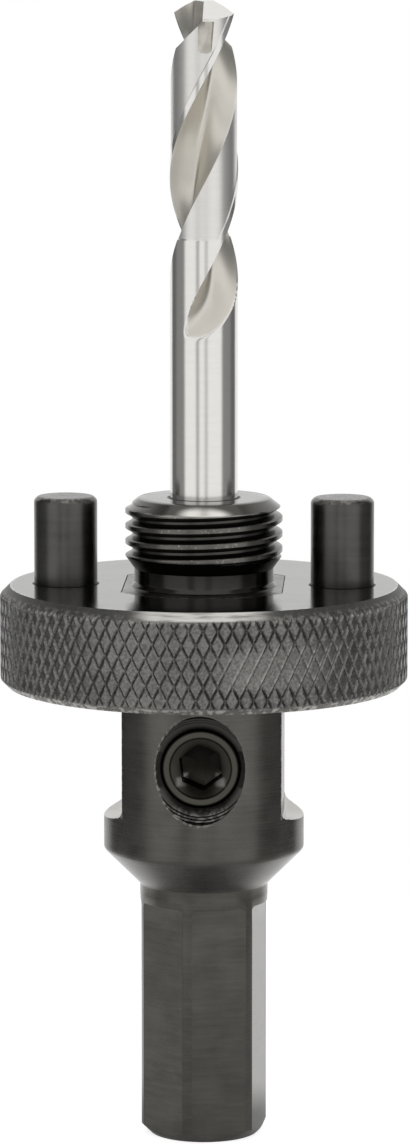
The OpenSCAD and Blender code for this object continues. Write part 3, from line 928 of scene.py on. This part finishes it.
def drill_growth(settings, finish):
    """The fluted part: columns that follow the helix, up to two ground point faces."""
    columns, side_rows, level_rows, end_rows = 240, 190, 165, 12
    lead = settings.flute_lead / MM
    start = DRILL_TOP - FLUTE_LEN - 0.3
    level_top = DRILL_TOP - 4.0
    web_half = settings.web / MM / 2
    land = settings.land_angle
    slope = math.tan(math.radians(90) - settings.point_angle / 2)
    corner_z = DRILL_TOP - DRILL_R * slope
    lip = (settings.flute_turn + 2 * math.pi * (corner_z - DRILL_Z) / lead + land
           - math.asin(web_half / DRILL_R))
    growth = Growth("Twist drill", {
        "Columns": columns, "Side rows": side_rows, "Level rows": level_rows, "End rows": end_rows,
        "Radius": DRILL_R, "Flute lead": lead, "Flute turn": settings.flute_turn,
        "Land share": land / math.pi, "Margin share": settings.margin_angle / math.pi,
        "Half web": web_half, "Land relief": settings.land_cut / MM,
        "Relief length": settings.relief_length / MM, "Run-out length": settings.runout / MM,
        "Point slope": slope, "Point clearance": math.tan(settings.clearance_angle), "Lip turn": lip,
    })
    size = growth.size

    def point_at(x, y):
        along = x * size("Lip turn").math("COSINE") + y * size("Lip turn").math("SINE")
        over = y * size("Lip turn").math("COSINE") - x * size("Lip turn").math("SINE")
        top = size("Half web") * size("Point clearance") + DRILL_TOP
        one = top - along * size("Point slope") - (size("Half web") - over) * size("Point clearance")
        two = top + along * size("Point slope") - (size("Half web") + over) * size("Point clearance")
        return one.least(two)

    def section(turn):
        half = (turn * 2).math("FRACT")
        land_share = size("Land share")
        way = ((half - land_share) / (1 - land_share)).within(0.0, 1.0)
        flute = ((way ** 0.75 * math.pi).math("SINE").most(0.0)) ** 0.7
        off_deepest = (way - 0.5 ** (1 / 0.75)) * (1 - land_share) * math.pi
        flat_r = size("Half web") / off_deepest.math("COSINE")
        flat = (size("Radius") - flat_r) / (size("Radius") - size("Half web"))
        flute = flute.math("SMOOTH_MIN", flat, 0.3)
        relieved = 1 - half.rise(land_share - size("Margin share"), land_share - size("Margin share") + 0.006)
        return flute, relieved

    def cut_share(height, flute):
        rise = (1 - (height - (DRILL_TOP - FLUTE_LEN)) / size("Run-out length")).within(0.0, 1.0)
        return (flute - rise * rise).most(0.0)

    def radius_at(height, flute, relieved):
        depth = cut_share(height, flute) * (size("Radius") - size("Half web"))
        ground = height.math("GREATER_THAN", DRILL_TOP - size("Relief length"))
        return size("Radius") - depth - relieved * ground * size("Land relief")

    def angle_at(turn, height):
        return turn * (2 * math.pi) + size("Flute turn") + (height - DRILL_Z) * (2 * math.pi) / size("Flute lead")

    def place(turn, row):
        flute, relieved = section(turn)
        end = turn * 0 + (DRILL_TOP - 1.2)
        for _ in range(4):
            r = radius_at(end, flute, relieved)
            a = angle_at(turn, end)
            end = point_at(r * a.math("COSINE"), r * a.math("SINE"))
        level = (row / size("Level rows")).least(1.0)
        bent = ((row - size("Level rows")) / (size("Side rows") - size("Level rows"))).within(0.0, 1.0)
        side = start + level * (level_top - start) + bent * (end - level_top)
        step_z = DRILL_TOP - size("Relief length")
        above = side - step_z
        snap = above.math("GREATER_THAN", 0.0) * above.math("LESS_THAN", (level_top - start) / level_rows)
        side = side - snap * (above - 0.02)
        radius = radius_at(side, flute, relieved)
        inward = ((row - size("Side rows")) / size("End rows")).within(0.0, 1.0)
        radius = radius * (1 - inward)
        angle = angle_at(turn, side)
        top = point_at(radius * angle.math("COSINE"), radius * angle.math("SINE"))
        on_top = inward.math("GREATER_THAN", 0.001)
        return radius, angle, side + on_top * (top - side)

    def marks(turn, row):
        flute, relieved = section(turn)
        top = (row - size("Side rows") + 0.5).within(0.0, 1.0)
        height = start + (row / size("Level rows")).least(1.0) * (level_top - start)
        return {"flute": cut_share(height, flute), "top": top, "relieved": relieved}

    band = growth.band(size("Columns"), size("Side rows") + size("End rows"), place, marks)
    growth.finish(band, finish)
    piece = add_object("flute_band", bpy.data.meshes.new("flute_band"))
    start_angle = settings.flute_turn + 2 * math.pi * (start - DRILL_Z) / lead
    return growth.apply(piece), columns, start, start_angle


def drill_finish(settings):
    """Bright ground steel: light lands, darker olive flutes, fine marks along the grinding."""
    finish = Finish("bright_drill_steel", settings.tint, settings.roughness)
    top = finish.attribute("top").rise(0.4, 0.6)
    flute = finish.attribute("flute").rise(0.0, 0.1) * (1 - top)
    marks = finish.turning(finish.z, fine=5.0)
    patches = finish.spots(0.4, 3.0)
    base = finish.mix([c * 0.9 for c in settings.tint], settings.tint, marks)
    base = finish.mix(base, settings.flute_tint, flute * (patches * 0.3 + 0.75))
    finish.colour(base)
    ground = finish.z.rise(DRILL_TOP - settings.relief_length / MM, DRILL_TOP - settings.relief_length / MM + 0.1)
    ground = ground * finish.attribute("relieved") * (1 - top)
    finish.rough(flute * 0.22 + ground * 0.2 + patches * 0.06 + (settings.roughness - 0.03))
    finish.bump(marks, 0.0002)
    return finish.material


def ground_finish(settings, name, share):
    """Duller steel where the point is split, as a share of the flutes' colour."""
    tint = [c * share for c in settings.flute_tint]
    finish = Finish(name, tint, settings.roughness + 0.12)
    finish.colour(finish.mix([c * 0.6 for c in tint], tint, finish.spots(1.2, 3.0)))
    return finish.material


def point_cutters(settings):
    """What is ground away to split the point: each land's heel, and a notch in the land."""
    top = DRILL_TOP
    heel = [(0.0, top - 1.95), (0.0, top + 1.0), (-5.0, top + 1.0), (-5.0, top - 6.95)]
    notch = [(-0.45, top - 2.0), (-0.45, top - 4.8), (-0.2, top - 5.1), (0.9, top - 5.1), (1.2, top - 2.0)]
    floor = [(0.2, top - 2.0), (0.2, top - 3.65), (0.3, top - 3.8), (0.8, top - 3.8), (0.95, top - 2.0)]
    layers = {
        "heel": (ground_finish(settings, "ground_heel_steel", 0.5), [(0.25, heel), (5.0, heel)]),
        "notch": (ground_finish(settings, "ground_notch_steel", 1.0),
                  [(2.75, floor), (3.25, notch), (5.0, notch)]),
    }
    cutters = []
    for side in (-1, 1):
        for name, (finish, rings) in layers.items():
            loops = [[(x * -side, y * side, z) for x, z in shape] for y, shape in rings]
            cutters.append(solid(f"point_{name}", loops, finish))
    return cutters


def make_drill(settings):
    bright = drill_finish(settings)
    band, columns, start, start_angle = drill_growth(settings, bright)
    heights = [DRILL_Z + 0.4, CLAMP_TOP, CLAMP_TOP + 0.02, 50.0, 58.0, 66.0, 72.0, 76.0, start]
    rings = []
    for z in heights:
        ring = []
        for k in range(columns):
            a = start_angle + 2 * math.pi * k / columns
            front = -math.sin(a)
            flat = CLAMP_Y / front if z <= CLAMP_TOP and front > CLAMP_Y / DRILL_R else DRILL_R
            r = min(DRILL_R, flat)
            ring.append((r * math.cos(a), r * math.sin(a), z))
        rings.append(ring)
    end = [(x * 0.88, y * 0.88, DRILL_Z) for x, y, _z in rings[0]]
    piece = weld("twist_drill", [
        solid("drill_shank", [end] + rings, bright, high_cap=False),
        band,
    ])
    cut(piece, point_cutters(settings))
    smooth(piece, 30)
    dress(piece, "drill", "drill_steel", "pilot_drill")


# Screws, ball and spring

def socket_screw(name, y_sign, centre_z, face, length, radius, key, key_turn, key_depth, bowl, finish):
    """A headless screw along Y with a hexagon socket. bowl is its rim's width and its depth."""
    columns = 144
    tip = face - length
    rim, bowl_depth = bowl
    place = facing(y_sign, centre_z)
    profiles = []
    angles = [2 * math.pi * k / columns for k in range(columns)]
    sixth = math.pi / 3
    for a in angles:
        off = (a - key_turn) % sixth - sixth / 2
        socket = key / 2 / math.cos(off)
        bowl_r = radius - rim
        share = (bowl_r - socket) / (bowl_r - key / 2)
        profiles.append(rounded([
            (radius - 1.6, tip, 0, 1), (radius - 0.8, tip, 0.1, 1), (radius, tip + 0.8, 0.1, 4),
            (radius, face - 0.2, 0.08, 1), (radius - 0.2, face, 0.08, 1),
            (bowl_r, face, 0.12, 2), (socket, face - bowl_depth * share, 0.08, 3),
            (socket, face - key_depth, 0.1, 1), (socket * 0.4, face - key_depth - 0.5, 0, 1),
        ]))
    rings = [[place(r, a, z) for a, (r, z) in zip(angles, row)] for row in zip(*profiles)]
    piece = solid(name, rings, finish)
    smooth(piece, 30)
    return piece


def screw_finish(settings):
    """Set screw: a greyer rim round a bowl and a socket, with painted shade that darkens inwards and in dark
    rings at the rim's edges, and painted highlights in the bowl.
    """
    finish = Finish("blackened_screw", settings.screw_tint, settings.screw_roughness)
    up = finish.z - SCREW_Z
    away = (finish.x * finish.x + up * up).math("SQRT")
    sunk = finish.y + SCREW_FACE_Y
    specks = finish.spots(2.0, 3.0)
    rim = away.rise(SCREW_R - 0.85, SCREW_R - 0.7)
    # Bowl and socket painted darker than the rim: painted shade.
    base = finish.mix([c * 0.65 for c in settings.screw_tint], settings.screw_tint, rim)
    # Painted shade, deeper into the socket and heavier at its top.
    shade = sunk.rise(0.3, 1.0) * (up.rise(-2.4, -0.2) * 0.75 + 0.2)
    # Painted dark rings: shade at the rim's inner and outer edges.
    edge = away.near(SCREW_R - 0.9, 0.12).most(away.rise(SCREW_R - 0.35, SCREW_R - 0.25))
    base = finish.mix(base, [c * 0.12 for c in settings.screw_tint], shade.most(edge * 0.9))
    # Painted highlights low left and low right on the bowl, and a painted glint low in the bowl.
    beside = finish.x.math("ABSOLUTE").near(1.9, 0.7) * up.near(-1.4, 0.6) * 0.25
    glint = sunk.rise(0.35, 0.6) * (1 - sunk.rise(0.75, 0.9)) * (1 - up.rise(-2.6, -2.3))
    glint = glint * finish.x.near(-0.4, 0.5) * 0.9
    finish.colour(finish.mix(base, settings.worn_tint, beside.most(glint)))
    finish.rough(specks * 0.1 + (settings.screw_roughness - 0.05))
    return finish.material


def make_screws(settings):
    black = screw_finish(settings)
    piece = socket_screw("socket_screw", -1, SCREW_Z, SCREW_FACE_Y, SCREW_LEN, SCREW_R,
                         settings.key / MM, settings.key_turn, 3.0, (0.85, 0.7), black)
    dress(piece, "screw", "screw_steel", "set_screw")
    grub_black = blackened("blackened_grub_screw", settings.screw_tint, settings.screw_roughness)
    piece = socket_screw("grub_screw", 1, BALL_Z, GRUB_FACE_Y, GRUB_LEN, GRUB_R,
                         2.5, 0.0, 2.0, (0.8, 0.3), grub_black)
    dress(piece, "plate", "screw_steel", "detent_screw")


def spring_growth(settings, finish):
    """The detent's spring: a wire along a coil, turned to lie along +Y."""
    wire_r = settings.wire / MM / 2
    coil_r = BALL_R - wire_r - 2 * HOLE_GAP
    low = BALL_Y + math.sqrt(BALL_R ** 2 - coil_r ** 2) + wire_r + HOLE_GAP
    high = GRUB_FACE_Y - GRUB_LEN - wire_r - HOLE_GAP
    growth = Growth("Detent spring", {
        "Turns": settings.spring_turns, "Coil radius": coil_r * MM, "Length": (high - low) * MM,
        "Wire radius": wire_r * MM,
    })
    coil = growth.node("GeometryNodeCurveSpiral", Resolution=32, Rotations=growth.size("Turns"),
                       Start_Radius=growth.size("Coil radius"), End_Radius=growth.size("Coil radius"),
                       Height=growth.size("Length"))
    ring = growth.node("GeometryNodeCurvePrimitiveCircle", Resolution=14, Radius=growth.size("Wire radius"))
    tube = growth.node("GeometryNodeCurveToMesh", Curve=Field(growth.tree, coil.outputs[0]),
                       Profile_Curve=Field(growth.tree, ring.outputs[0]), Fill_Caps=True)
    turned_over = growth.node("GeometryNodeTransform", Geometry=Field(growth.tree, tube.outputs[0]),
                              Translation=(0.0, low * MM, BALL_Z * MM), Rotation=(-math.pi / 2, 0.0, 0.0))
    growth.finish(Field(growth.tree, turned_over.outputs[0]), finish)
    piece = add_object("coil_spring", bpy.data.meshes.new("coil_spring"))
    return growth.apply(piece)


def make_detent(settings):
    finish = Finish("bright_spring_steel", settings.spring_tint, 0.25)
    patches = finish.spots(1.5, 3.0)
    finish.colour(finish.mix([c * 0.8 for c in settings.spring_tint], settings.spring_tint, patches))
    finish.rough(patches * 0.15 + 0.18)
    piece = spring_growth(settings, finish.material)
    smooth(piece, 40)
    dress(piece, "plate", "spring_steel", "detent_spring")
    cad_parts["detent_ball"].material_slots[0].material = finish.material


# Studio

def make_camera(settings):
    data = bpy.data.cameras.new("camera")
    data.sensor_width = 36.0
    data.lens = settings.lens
    data.clip_start = 0.01
    camera = add_object("camera", data)
    away = settings.distance
    camera.location = (away * math.sin(settings.azimuth), -away * math.cos(settings.azimuth), settings.height)
    camera.rotation_euler = (math.pi / 2 - settings.pitch, 0.0, settings.azimuth + settings.yaw)
    bpy.context.scene.camera = camera


def make_tent(settings):
    """A light tent that the camera doesn't see: white before and behind, a grey flag on each side."""
    data = skin("light_tent", turned([(600.0, -500.0), (600.0, 1100.0)], 96), False, False)
    tent = add_object("light_tent", data)
    tent.visible_camera = False
    material = bpy.data.materials.new("tent_wall")
    material.use_nodes = True
    tree = material.node_tree
    tree.nodes.remove(tree.nodes["Principled BSDF"])
    x, y, _z = split(tree, Field(tree, tree.nodes.new("ShaderNodeTexCoord").outputs["Object"]))
    turn = x.math("ARCTAN2", y * -1) * (180 / math.pi)
    side = turn.math("ABSOLUTE")
    flag = side.rise(settings.flag_from - 6, settings.flag_from + 6)
    flag = flag * (1 - side.rise(settings.flag_to - 6, settings.flag_to + 6))
    deep = side.rise(95.0, 115.0) * 0.45
    seam = (turn.near(-19.0, 8.0) * 0.5).most(turn.near(10.0, 8.0) * 0.35)
    level = (1 - flag * (1 - settings.flag_level * (1 - deep))) * (1 - seam)
    light = tree.nodes.new("ShaderNodeEmission")
    feed(tree, light.inputs["Strength"], level * settings.level)
    tree.links.new(light.outputs[0], tree.nodes["Material Output"].inputs["Surface"])
    data.materials.append(material)


def make_floor(settings):
    """A pale round floor that the camera sees as white, with the arbor's shadow kept, and a glow seen in
    reflections that is painted dimmer in front of the axis than behind it.
    """
    radius = settings.floor_radius / MM
    floor = add_object("floor", skin("floor", turned([(0.02, 0.0), (radius, 0.0)], 96), False, False))
    material = bpy.data.materials.new("pale_floor")
    material.use_nodes = True
    tree = material.node_tree
    shader = tree.nodes["Principled BSDF"]
    shader.inputs["Base Color"].default_value = (*settings.floor_tint, 1.0)
    shader.inputs["Roughness"].default_value = 0.9
    seen = tree.nodes.new("ShaderNodeLightPath")
    _x, y, _z = split(tree, Field(tree, tree.nodes.new("ShaderNodeTexCoord").outputs["Object"]))
    # Painted reflection: glossy rays see the floor glowing dimmer in front of the axis and brighter behind it.
    painted_reflected_glow = Field(tree, seen.outputs["Is Glossy Ray"]) * (y.rise(0.004, 0.02) * 0.9 + 0.3)
    white = Field(tree, seen.outputs["Is Camera Ray"]).most(painted_reflected_glow).most(
        Field(tree, seen.outputs["Is Transmission Ray"]))
    light = tree.nodes.new("ShaderNodeEmission")
    feed(tree, light.inputs["Strength"], white * settings.floor_glow)
    both = tree.nodes.new("ShaderNodeAddShader")
    tree.links.new(shader.outputs[0], both.inputs[0])
    tree.links.new(light.outputs[0], both.inputs[1])
    tree.links.new(both.outputs[0], tree.nodes["Material Output"].inputs["Surface"])
    floor.data.materials.append(material)


def make_world():
    world = bpy.data.worlds.new("white")
    world.use_nodes = True
    ground = world.node_tree.nodes["Background"]
    ground.inputs["Color"].default_value = (1.0, 1.0, 1.0, 1.0)
    ground.inputs["Strength"].default_value = 1.0
    bpy.context.scene.world = world
    bpy.context.scene.view_settings.view_transform = "Standard"


# Settings

def length(name, description, default):
    return bpy.props.FloatProperty(name=name, description=description, default=default, min=0.0,
                                   precision=5, subtype="DISTANCE", unit="LENGTH")


def turn(name, description, degrees):
    return bpy.props.FloatProperty(name=name, description=description, default=math.radians(degrees),
                                   subtype="ANGLE", unit="ROTATION")


def share(name, description, default, top=1.0):
    return bpy.props.FloatProperty(name=name, description=description, default=default,
                                   min=0.0, max=top, subtype="FACTOR")


def count(name, description, default):
    return bpy.props.IntProperty(name=name, description=description, default=default, min=1)


def tint(name, description, default):
    return bpy.props.FloatVectorProperty(name=name, description=description, default=default,
                                         size=3, min=0.0, max=1.0, subtype="COLOR")


class ArborStageSettings(bpy.types.PropertyGroup):
    """Camera, light and floor"""
    lens: bpy.props.FloatProperty(name="Lens", description="Focal length in millimetres", default=166.8,
                                  min=1.0)
    distance: length("Camera distance", "Level distance from the axis to the camera", 0.5275)
    height: length("Camera height", "Height of the camera over the floor", 0.1325)
    azimuth: turn("Camera azimuth", "Turn of the camera from the set screw towards the right", 2.2)
    pitch: turn("Camera pitch", "How far the camera looks down", 8.1)
    yaw: turn("Camera yaw", "Small turn that puts the axis left of the middle", -0.0065)
    level: share("Light level", "Strength of the white tent", 1.0, 2.0)
    flag_level: share("Flag level", "Strength left where the grey flags hang", 0.27)
    flag_from: bpy.props.FloatProperty(name="Flags from", description="Degrees from the front", default=66.0)
    flag_to: bpy.props.FloatProperty(name="Flags to", description="Degrees from the front", default=134.0)
    floor_radius: length("Floor radius", "Radius of the round floor", 0.12)
    floor_tint: tint("Floor colour", "Colour of the floor", (0.5, 0.5, 0.5))
    floor_glow: share("Floor white", "White added where the floor is seen", 0.8)


class ArborBodySettings(bpy.types.PropertyGroup):
    """Arbor body"""
    tint: tint("Black steel", "Colour of the blackened steel", (0.102, 0.099, 0.091))
    # Also the colour of painted edge highlights and of the painted reflection on the nose's chamfer.
    worn_tint: tint("Worn edges", "Colour where the black is worn through", (0.5, 0.49, 0.46))
    roughness: share("Roughness", "Roughness of the blackened steel", 0.28)
    pitch: length("Thread pitch", "Climb of the nose's thread in one turn", 0.00154)
    thread_depth: length("Thread depth", "Depth of the nose's thread", 0.0007)
    crest: length("Thread crest", "Width of the thread's crest", 0.00045)
    thread_turn: turn("Thread start", "Turn of the thread about the axis", 231.5)


class ArborPlateSettings(bpy.types.PropertyGroup):
    """Drive plate and pins"""
    rim_tint: tint("Knurl", "Colour of the knurl's tips", (0.155, 0.153, 0.146))
    groove_tint: tint("Grooves", "Colour in the knurl's grooves and in the bores", (0.085, 0.083, 0.078))
    face_tint: tint("Faces", "Colour of the plate's turned faces", (0.1, 0.098, 0.092))
    pin_tint: tint("Pins", "Colour of the drive pins", (0.09, 0.088, 0.083))
    # Also the colour of the plate's painted edge highlights and painted reflection.
    worn_tint: tint("Worn edges", "Colour where the black is worn through", (0.5, 0.49, 0.46))
    face_roughness: share("Face roughness", "Roughness of the plate's faces", 0.14)
    pin_roughness: share("Pin roughness", "Roughness of the pins", 0.3)
    knurl_count: count("Knurl count", "Diamonds round the rim", 90)
    knurl_row: length("Knurl row", "Height of one diamond", 0.00275)
    knurl_depth: length("Knurl depth", "Depth of the knurl's grooves", 0.00024)
    knurl_flat: share("Knurl flats", "Share of a diamond that stays flat", 0.64)


class ArborDrillSettings(bpy.types.PropertyGroup):
    """Pilot drill"""
    tint: tint("Bright steel", "Colour of the ground steel", (0.8, 0.79, 0.76))
    flute_tint: tint("Flutes", "Colour of the flutes", (0.66, 0.63, 0.565))
    roughness: share("Roughness", "Roughness of the ground steel", 0.16)
    flute_lead: length("Flute lead", "Climb of a flute in one turn", 0.0392)
    flute_turn: turn("Flute turn", "Turn of the flutes about the axis", 17.0)
    land_angle: turn("Land", "Width of a land round the drill", 87.0)
    margin_angle: turn("Margin", "Width of the margin on a land", 12.0)
    web: length("Web", "Thickness of the web between the flutes", 0.0017)
    land_cut: length("Land relief", "Depth that the lands are ground down", 0.0001)
    relief_length: length("Relief length", "Length of the ground-down lands from the point", 0.0235)
    runout: length("Run-out", "Length of the flutes' run-out", 0.008)
    point_angle: turn("Point angle", "Angle of the drill's point", 130.0)
    clearance_angle: turn("Point clearance", "Clearance behind the drill's lips", 14.0)


class ArborFastenerSettings(bpy.types.PropertyGroup):
    """Screws, ball and spring"""
    screw_tint: tint("Black screws", "Colour of the screws", (0.078, 0.074, 0.062))
    # Colour of the set screw's painted highlights and glint.
    worn_tint: tint("Painted highlights", "Colour of the set screw's painted highlights", (0.55, 0.54, 0.52))
    screw_roughness: share("Roughness", "Roughness of the screws", 0.3)
    key: length("Socket", "Width of the set screw's hexagon socket", 0.004)
    key_turn: turn("Socket turn", "Turn of that socket", -83.0)
    spring_tint: tint("Spring", "Colour of the ball and the spring", (0.7, 0.69, 0.66))
    wire: length("Wire", "Diameter of the spring's wire", 0.0004)
    spring_turns: bpy.props.FloatProperty(name="Turns", description="Turns of the spring", default=3.0, min=1.0)


SETTINGS = {
    "arbor_stage": ArborStageSettings,
    "arbor_body": ArborBodySettings,
    "arbor_plate": ArborPlateSettings,
    "arbor_drill": ArborDrillSettings,
    "arbor_fasteners": ArborFastenerSettings,
}


# Operators

class MakeStage(bpy.types.Operator):
    """Make the camera, the light tent, the floor and the white world"""
    bl_idname = "arbor.make_stage"
    bl_label = "Stage"

    def execute(self, context):
        settings = context.scene.arbor_stage
        make_camera(settings)
        make_world()
        make_tent(settings)
        make_floor(settings)
        return {"FINISHED"}


class MakeBody(bpy.types.Operator):
    """Make the shank, collar and threaded nose"""
    bl_idname = "arbor.make_body"
    bl_label = "Arbor body"

    def execute(self, context):
        make_body(context.scene.arbor_body)
        return {"FINISHED"}


class MakePlate(bpy.types.Operator):
    """Make the knurled drive plate"""
    bl_idname = "arbor.make_plate"
    bl_label = "Drive plate"

    def execute(self, context):
        make_plate(context.scene.arbor_plate)
        return {"FINISHED"}


class MakePins(bpy.types.Operator):
    """Make the two drive pins"""
    bl_idname = "arbor.make_pins"
    bl_label = "Drive pins"

    def execute(self, context):
        make_pins(context.scene.arbor_plate)
        return {"FINISHED"}


class MakeDrill(bpy.types.Operator):
    """Make the pilot drill"""
    bl_idname = "arbor.make_drill"
    bl_label = "Pilot drill"

    def execute(self, context):
        make_drill(context.scene.arbor_drill)
        return {"FINISHED"}


class MakeScrews(bpy.types.Operator):
    """Make the set screw and the detent's grub screw"""
    bl_idname = "arbor.make_screws"
    bl_label = "Screws"

    def execute(self, context):
        make_screws(context.scene.arbor_fasteners)
        return {"FINISHED"}


class MakeDetent(bpy.types.Operator):
    """Make the detent's spring and finish its ball"""
    bl_idname = "arbor.make_detent"
    bl_label = "Ball and spring"

    def execute(self, context):
        make_detent(context.scene.arbor_fasteners)
        return {"FINISHED"}


OPERATORS = (MakeStage, MakeBody, MakePlate, MakePins, MakeDrill, MakeScrews, MakeDetent)


class ArborPanel(bpy.types.Panel):
    """Hole saw arbor"""
    bl_idname = "VIEW3D_PT_hole_saw_arbor"
    bl_label = "Hole saw arbor"
    bl_space_type = "VIEW_3D"
    bl_region_type = "UI"
    bl_category = "Arbor"

    def draw(self, context):
        for operator in OPERATORS:
            self.layout.operator(operator.bl_idname)
        for attribute, group in SETTINGS.items():
            box = self.layout.box()
            box.label(text=group.__doc__)
            for label in group.__annotations__:
                box.prop(getattr(context.scene, attribute), label)


def register():
    for kind in (*SETTINGS.values(), *OPERATORS, ArborPanel):
        bpy.utils.register_class(kind)
    for attribute, group in SETTINGS.items():
        setattr(bpy.types.Scene, attribute, bpy.props.PointerProperty(type=group))


def unregister():
    for attribute in SETTINGS:
        delattr(bpy.types.Scene, attribute)
    for kind in reversed((*SETTINGS.values(), *OPERATORS, ArborPanel)):
        bpy.utils.unregister_class(kind)


def main():
    register()
    for operator in OPERATORS:
        group, name = operator.bl_idname.split(".")
        getattr(getattr(bpy.ops, group), name)()


if __name__ == "__main__":
    main()
